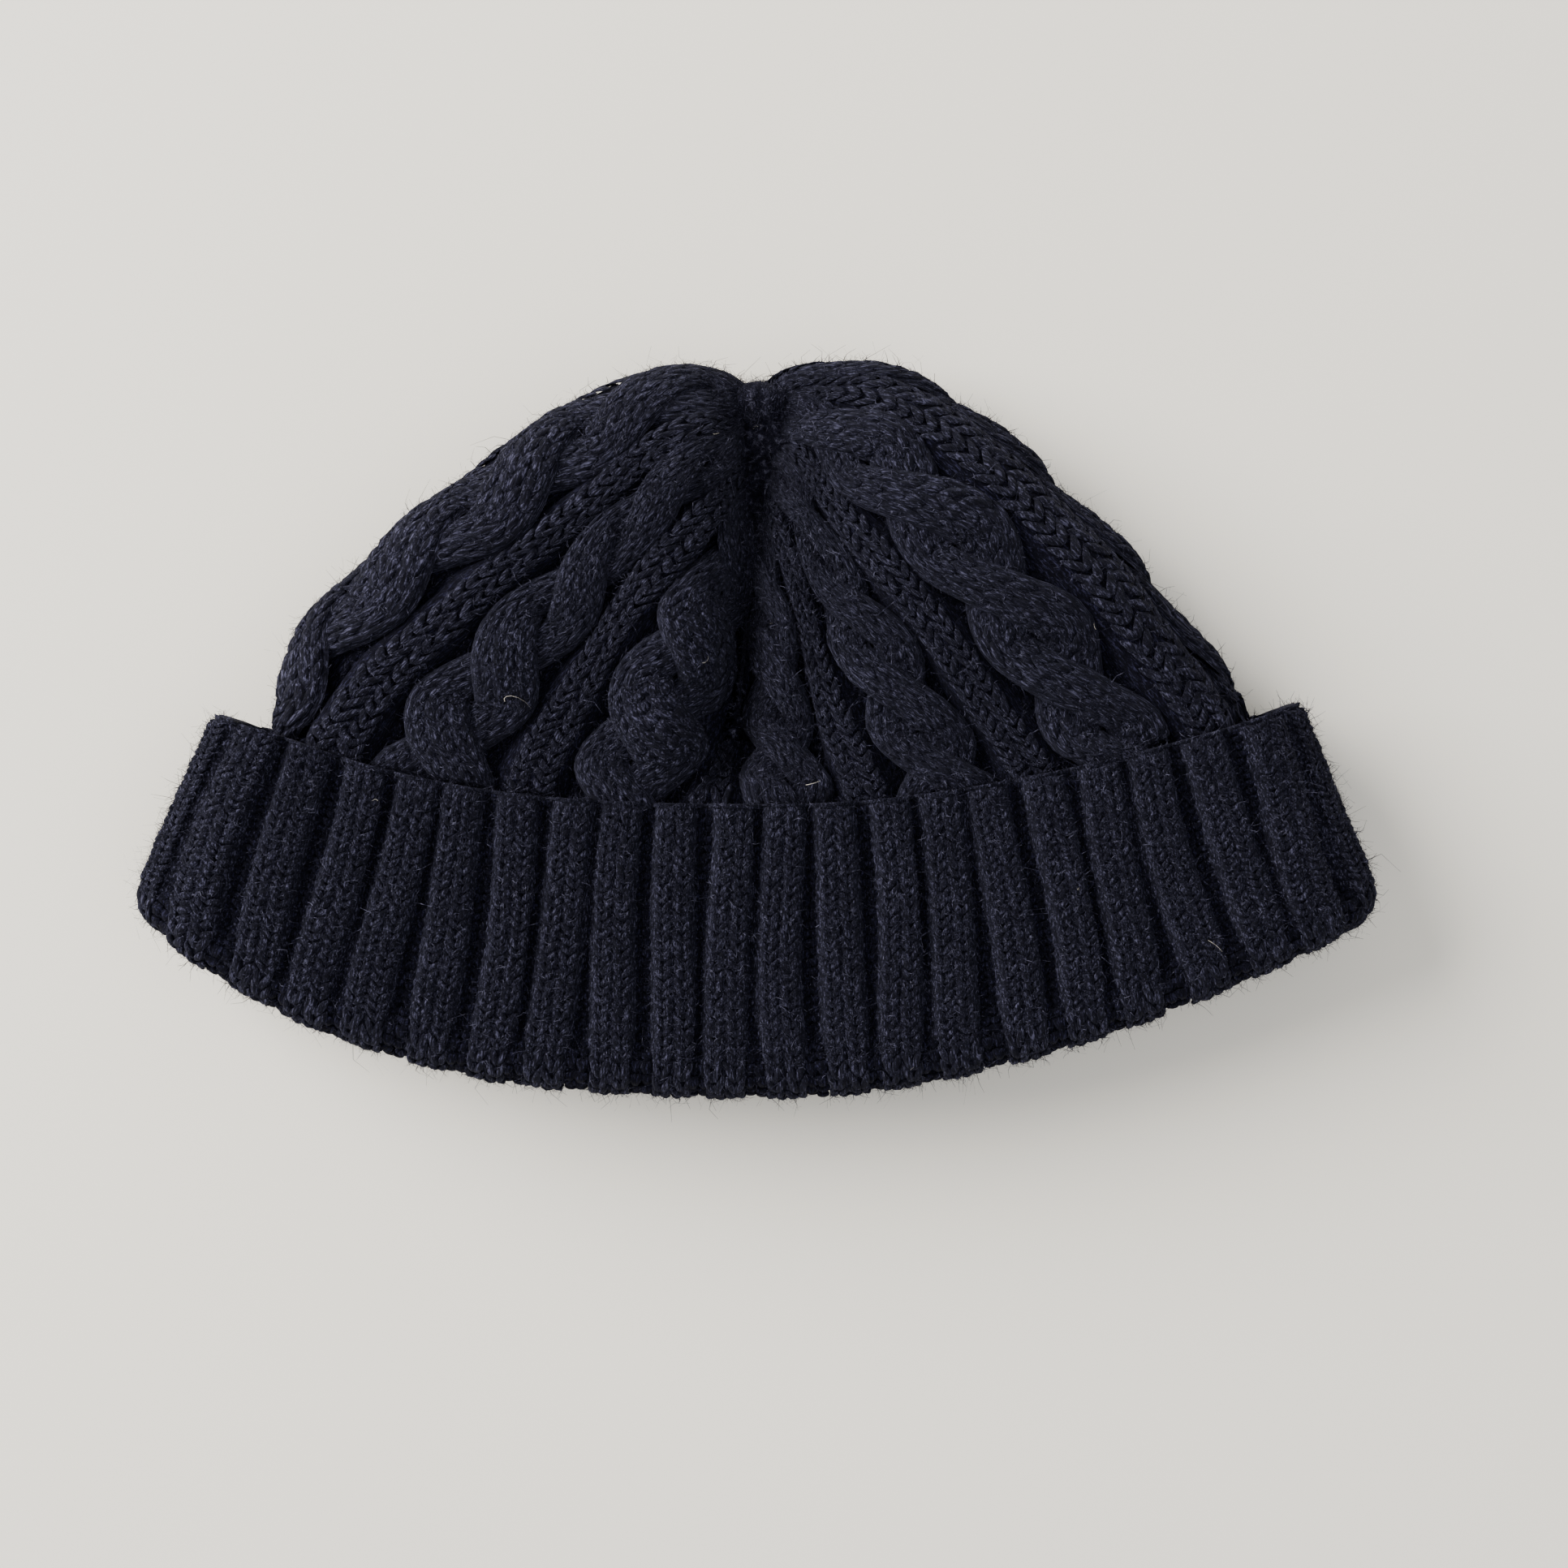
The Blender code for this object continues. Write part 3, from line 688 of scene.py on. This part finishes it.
# woven satin tape: off-white, with a fine weave that catches the light along its threads
def satinMaterial():
    m = bpy.data.materials.new("white_woven_satin_tape")
    m.use_nodes = True
    tree = m.node_tree
    shader = tree.nodes["Principled BSDF"]
    place = addNode(tree, "ShaderNodeTexCoord").outputs["Object"]
    weave = addNode(tree, "ShaderNodeTexWave", {"bands_direction": "Y"},
                    {"Scale": 900.0, "Distortion": 0.4}, {"Vector": place})
    bump = addNode(tree, "ShaderNodeBump", {}, {"Strength": 0.35, "Distance": 0.0001},
                   {"Height": weave.outputs["Fac"]})
    tree.links.new(bump.outputs["Normal"], shader.inputs["Normal"])
    shader.inputs["Base Color"].default_value = srgb("#dedbd2")
    shader.inputs["Roughness"].default_value = 0.42
    shader.inputs["Anisotropic"].default_value = 0.4
    shader.inputs["Sheen Weight"].default_value = 0.2
    return m


# shares are of one half of the tape; gap, fold and thickness are in metres
careTape = {"flatShare": 0.97, "foldShare": 0.06, "reach": 0.985, "gapHalf": 0.00018, "foldOut": 0.00025,
            "thickness": 0.00016}


# blank tape folded in two, with its fold free and both ends under the seam
def careLabel():
    k = careTape
    low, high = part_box("care_label")
    width, long = high[0] - low[0], high[1] - low[1]
    bm = bmesh.new()
    bmesh.ops.create_grid(bm, x_segments=24, y_segments=48, size=0.5)
    thing, local, col, row = tiled("care_label_tape", bm, 1, 1)
    along = (local[:, 1] + 0.5) * 2
    turn = np.clip((along - k["flatShare"]) / k["foldShare"], 0, 1) * math.pi
    fromSeam = np.minimum(np.where(along < 1, along, 2 - along), k["flatShare"]) / k["flatShare"]
    y = high[1] - long * k["reach"] * fromSeam - k["foldOut"] * np.sin(turn)
    z = (low[2] + high[2]) / 2 + k["gapHalf"] * np.cos(turn)
    places = np.column_stack([(low[0] + high[0]) / 2 + local[:, 0] * width, y, z])
    settle(thing, (places, None), satinMaterial(), "label", ["care_label"], pressed=False)
    solid = thing.modifiers.new("cloth", "SOLIDIFY")
    solid.thickness = k["thickness"]
    solid.offset = 0.0


seamStitch = {"count": 12, "fill": 0.8, "thick": 0.0008}


# short running stitches that hold the label to the crown
def seamThread():
    k = seamStitch
    low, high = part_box("care_label_seam")
    bm = bmesh.new()
    bmesh.ops.create_uvsphere(bm, u_segments=10, v_segments=8, radius=0.5)
    thing, local, col, row = tiled("care_label_stitches", bm, k["count"], 1)
    step = (high[0] - low[0]) / k["count"]
    place = np.column_stack([low[0] + step * (col + 0.5) + local[:, 2] * step * k["fill"],
                             (low[1] + high[1]) / 2 + local[:, 0] * k["thick"],
                             (low[2] + high[2]) / 2 + local[:, 1] * k["thick"]])
    settle(thing, (place, None), wool, "crown", ["care_label_seam"], place.T / mm, pressed=False,
           bends=False)


careLabel()
seamThread()

print("cuff")
cuffKnit = {"waleMm": 3.8, "rowMm": 1.9, "thickMm": 0.95, "rows": 33, "topMm": 3.9, "valleyMm": 0.3,
            "halfMm": 5.0, "stretchMm": 4.9, "grooveMm": 0.25, "grooveHalfMm": 0.7, "filledMm": 2.2,
            "lastY": 1.13}
ribPitchMm = 10.6
cuffGrainMm = 53.0  # the grain's length from the free edge to the fold


# height left to the cuff's ribs, which spread and flatten where the cuff is folded
def ribTall(y):
    x = np.clip((y - 0.84) / 0.13, 0.0, 1.0)
    return 1 - 0.6 * x * x * (3 - 2 * x)


# height of the cuff across one rib, x in millimetres from the middle of the rib
def cuffRelief(x, y=0.0):
    k = cuffKnit
    dome = np.maximum(1 - (x / k["halfMm"]) ** 2, 0.0) ** 0.75
    filled = (1 - ribTall(y)) * k["filledMm"]
    return k["valleyMm"] + filled + ((k["topMm"] - k["valleyMm"]) * ribTall(y)) * dome


# slow sideways drift of the ribs, in millimetres, as a soft cuff lies
def wander(c, y):
    return 0.7 * np.sin(c * 1.9 + y * 3.1) + 0.45 * np.sin(c * 0.7 - y * 5.3)


def cuffKnitHalf(name, firstRib):
    k = cuffKnit
    half = cuffRibs // 2
    stitch = knitTile(k["waleMm"], k["rowMm"], k["thickMm"])
    thing, local, col, row = tiled(name, stitch, half * 2, k["rows"])
    local = jitter(row * half * 2 + col, local)
    s = (col % 2 - 0.5) * k["waleMm"] + local[:, 0]
    y = 0.008 + (row + 1.2 - local[:, 1] / k["rowMm"]) / k["rows"] * k["lastY"]
    rib = firstRib + col // 2 + 0.5
    x, z, faceX, faceZ = arch(s, k["halfMm"], k["stretchMm"], k["topMm"] - k["valleyMm"])
    free = np.clip(y / 0.03, 0.4, 1.0)
    filled = (1 - ribTall(y)) * k["filledMm"]
    z = z - k["grooveMm"] * np.exp(-(s / k["grooveHalfMm"]) ** 2)
    h = (k["valleyMm"] + filled + z * ribTall(y)) * free
    h = h + local[:, 2] * faceZ
    c = rib + (x + local[:, 2] * faceX + wander(rib, y)) / ribPitchMm
    settle(thing, onGrid(cuffGrid, c, y, h), wool, "cuff", ["cuff_turned_up"],
           (s + 20.0 * rib, y * cuffGrainMm, local[:, 2]), hairy=True)


cuffKnitHalf("cuff_rib_knit_front", 0)
cuffKnitHalf("cuff_rib_knit_back", cuffRibs // 2)


valleyPurl = {"waleMm": 2.2, "rowMm": 2.0, "thickMm": 1.5, "apartMm": 1.9, "heightMm": 0.7,
              "filledMm": 2.6}


# purl stitches down the valleys between the cuff's ribs, in the darker wool as painted shade
def cuffPurl():
    k, p = cuffKnit, valleyPurl
    thing, local, col, row = tiled("cuff_purl_valleys", purlTile(p["waleMm"], p["rowMm"], p["thickMm"]),
                                   cuffRibs * 2, k["rows"])
    local = jitter(row * cuffRibs * 2 + col, local, amount=0.15)
    x = (col % 2 - 0.5) * p["apartMm"] + local[:, 0]
    y = 0.01 + (row + 0.5 + local[:, 1] / k["rowMm"]) / k["rows"] * k["lastY"]
    rib = col // 2
    c = rib + (x + wander(rib + 0.5, y) * 0.5 + wander(rib - 0.5, y) * 0.5) / ribPitchMm
    h = p["heightMm"] + (1 - ribTall(y)) * p["filledMm"] + local[:, 2]
    settle(thing, onGrid(cuffGrid, c, y, h), shadedGroundWool, "cuff", (),
           (c * ribPitchMm, y * cuffGrainMm, local[:, 2]), hairy=True)


cuffPurl()


# height of the cuff's own fabric, just under its stitches
def cuffUnder(c, y):
    x = (c % 1.0 - 0.5) * ribPitchMm - wander(np.floor(c) + 0.5, y)
    return cuffRelief(x, y) - 0.25


# height of the lining, with the backs of the ribs as low waves
def liningWaves(c, b):
    return 1.6 + 0.5 * np.cos(c * 2 * math.pi)


sheetOf("cuff_fabric_under", cuffGrid, cuffRibs * 10, list(np.linspace(0.0, 1.16, 44)), cuffUnder, wool,
        "cuff", sizeMm=(ribPitchMm, cuffGrainMm))
liningRows = list(np.linspace(liningForm["nose"] + 0.01, 0.7, 14))
# the lining is in the darker wool: painted shade inside the cuff
sheetOf("cuff_lining_knit", liningGrid, cuffRibs * 8, liningRows, liningWaves, shadedGroundWool, "cuff",
        ["cuff_lining"], sizeMm=(ribPitchMm, cuffGrainMm))

castOnLoops = {"waleMm": 2.75, "rowMm": 1.6, "thickMm": 1.5, "perRib": 4, "apartMm": 2.6,
               "heightMm": 0.3}


# cast-on loops along the free edge, one per stitch
def castOnEdge():
    k = castOnLoops
    thing, local, col, row = tiled("cuff_cast_on_loops", purlTile(k["waleMm"], k["rowMm"], k["thickMm"]),
                                   cuffRibs * k["perRib"], 1)
    local = jitter(col, local, amount=0.15)
    rib = col // k["perRib"] + 0.5
    x = (col % k["perRib"] - (k["perRib"] - 1) / 2) * k["apartMm"] + local[:, 0]
    c = rib + (x + wander(rib, 0.0)) / ribPitchMm
    y = 0.004 - local[:, 1] / cuffGrainMm
    h = cuffRelief(x) * 0.8 + k["heightMm"] + local[:, 2]
    settle(thing, onGrid(cuffGrid, c, y, h), wool, "cuff",
           ["cuff_cast_on_edge"], (c * ribPitchMm, y * cuffGrainMm, local[:, 2]), hairy=True)


castOnEdge()

fibre = {"lengthMm": 1.7, "radiusMm": 0.06, "curl": 1.6, "crownCount": 44000, "cuffCount": 44000,
         "fuzzCount": 2600, "lintCount": 12}


# fine tapered hairs of wool over the stitches; lift is how far they stand away
def looseFibres(name, body, count, lift, lengthScale=1.0, sides=1, surface=None, steps=2):
    k = fibre
    bm = bmesh.new()
    bmesh.ops.create_grid(bm, x_segments=sides, y_segments=steps, size=0.5)
    thing, local, hair, row = tiled(name, bm, count, 1)
    roots = np.concatenate([g[0] for g in grown[body]])
    normals = np.concatenate([g[1] for g in grown[body]])
    pick = rng.integers(0, len(roots), count)
    root, normal = roots[pick], normals[pick]
    along = np.cross(normal, rng.normal(0, 1, (count, 3)))
    along /= np.maximum(np.linalg.norm(along, axis=1, keepdims=True), 1e-9)
    across = np.cross(normal, along)
    length = rng.gamma(3.0, 0.33, count) * k["lengthMm"] * lengthScale
    curl = rng.normal(0, k["curl"], count)
    rise = rng.uniform(0.3, 1.0, count) * lift
    a = (local[:, 1] + 0.5)[:, None]
    turn = a * curl[hair][:, None]
    reach = length[hair][:, None] * a
    heading = along[hair] * np.cos(turn) + across[hair] * np.sin(turn)
    sideways = -along[hair] * np.sin(turn) + across[hair] * np.cos(turn)
    side = np.rint((local[:, 0] + 0.5) * sides)[:, None]
    ring = side * math.pi if sides == 1 else side % sides * 2 * math.pi / sides
    radius = k["radiusMm"] * (1.1 - 0.75 * a)
    up = 0.12 + reach * rise[hair][:, None] + radius * np.sin(ring)
    places = root[hair] + (heading * reach - sideways * radius * np.cos(ring) + normal[hair] * up) * mm
    settle(thing, (places, None), surface or hairWool, body, pressed=False)


print("fibres")
for part in "ab":
    looseFibres("crown_lying_fibres_" + part, "crown", fibre["crownCount"], 0.15)
    looseFibres("cuff_lying_fibres_" + part, "cuff", fibre["cuffCount"], 0.15)
looseFibres("crown_fuzz", "crown", fibre["fuzzCount"], 0.8, 1.5, sides=3)
looseFibres("cuff_fuzz", "cuff", fibre["fuzzCount"], 0.8, 1.5, sides=3)
# pale lint: a few stray fibres of undyed wool, so the dark knit looks worn and soft
lintWool = woolMaterial("cream_lint_fibre", "#8d8a86", "#b3aea6", "#d9d4ca", fuzz=0.1, grain=False)
looseFibres("crown_lint", "crown", fibre["lintCount"], 0.15, 1.3, sides=3, surface=lintWool, steps=6)
looseFibres("cuff_lint", "cuff", fibre["lintCount"], 0.15, 1.3, sides=3, surface=lintWool, steps=6)

print("stage")


# places and sizes in metres, powers in watts
studio = {"floorHalf": 3.0, "floorLevel": -0.0002, "floorColour": "#edeae2", "keyAt": (-1.25, 0.6, 0.9),
          "keyPower": 76.0, "fillAt": (0.5, -0.3, 1.8), "fillPower": 10.0, "worldColour": "#faf8f2",
          "worldStrength": 0.80, "cameraAt": (0.005, -0.0108, 0.616)}


# matt painted board: even and pale, with no gloss, so that only the hat's shadow shows on it
def flatMaterial(name, colour, rough):
    m = bpy.data.materials.new(name)
    m.use_nodes = True
    m.node_tree.nodes["Principled BSDF"].inputs["Base Color"].default_value = srgb(colour)
    m.node_tree.nodes["Principled BSDF"].inputs["Roughness"].default_value = rough
    return m


bm = bmesh.new()
bmesh.ops.create_grid(bm, x_segments=1, y_segments=1, size=studio["floorHalf"])
floorMesh = bpy.data.meshes.new("table_top")
bm.to_mesh(floorMesh)
bm.free()
floor = bpy.data.objects.new("table_top", floorMesh)
bpy.context.scene.collection.objects.link(floor)
floor.location.z = studio["floorLevel"]
floorMesh.materials.append(flatMaterial("matt_white_table", studio["floorColour"], 0.85))


def areaLight(name, place, target, size, power, colour):
    data = bpy.data.lights.new(name, "AREA")
    data.shape = "DISK"
    data.size = size
    data.energy = power
    data.color = srgb(colour)[:3]
    lamp = bpy.data.objects.new(name, data)
    bpy.context.scene.collection.objects.link(lamp)
    lamp.location = place
    direction = np.array(target) - np.array(place)
    lamp.rotation_euler = Vector(direction).to_track_quat("-Z", "Y").to_euler()
    return lamp


keyLight = areaLight("key_softbox", studio["keyAt"], (0, 0, 0), 1.4, studio["keyPower"], "#fffaf2")
fillLight = areaLight("fill_softbox", studio["fillAt"], (0, 0, 0), 1.8, studio["fillPower"], "#f4f6ff")

world = bpy.data.worlds.new("studio")
bpy.context.scene.world = world
world.use_nodes = True
world.node_tree.nodes["Background"].inputs["Color"].default_value = srgb(studio["worldColour"])
world.node_tree.nodes["Background"].inputs["Strength"].default_value = studio["worldStrength"]

camera = bpy.data.objects.new("camera", bpy.data.cameras.new("camera"))
bpy.context.scene.collection.objects.link(camera)
camera.location = studio["cameraAt"]
camera.rotation_euler = (0, 0, 0)  # straight down
camera.data.sensor_width = 36.0
camera.data.lens = camera.data.sensor_width / (2 * 0.144 / 0.6)  # takes in 288 mm at 600 mm
camera.data.clip_start = 0.01
bpy.context.scene.camera = camera
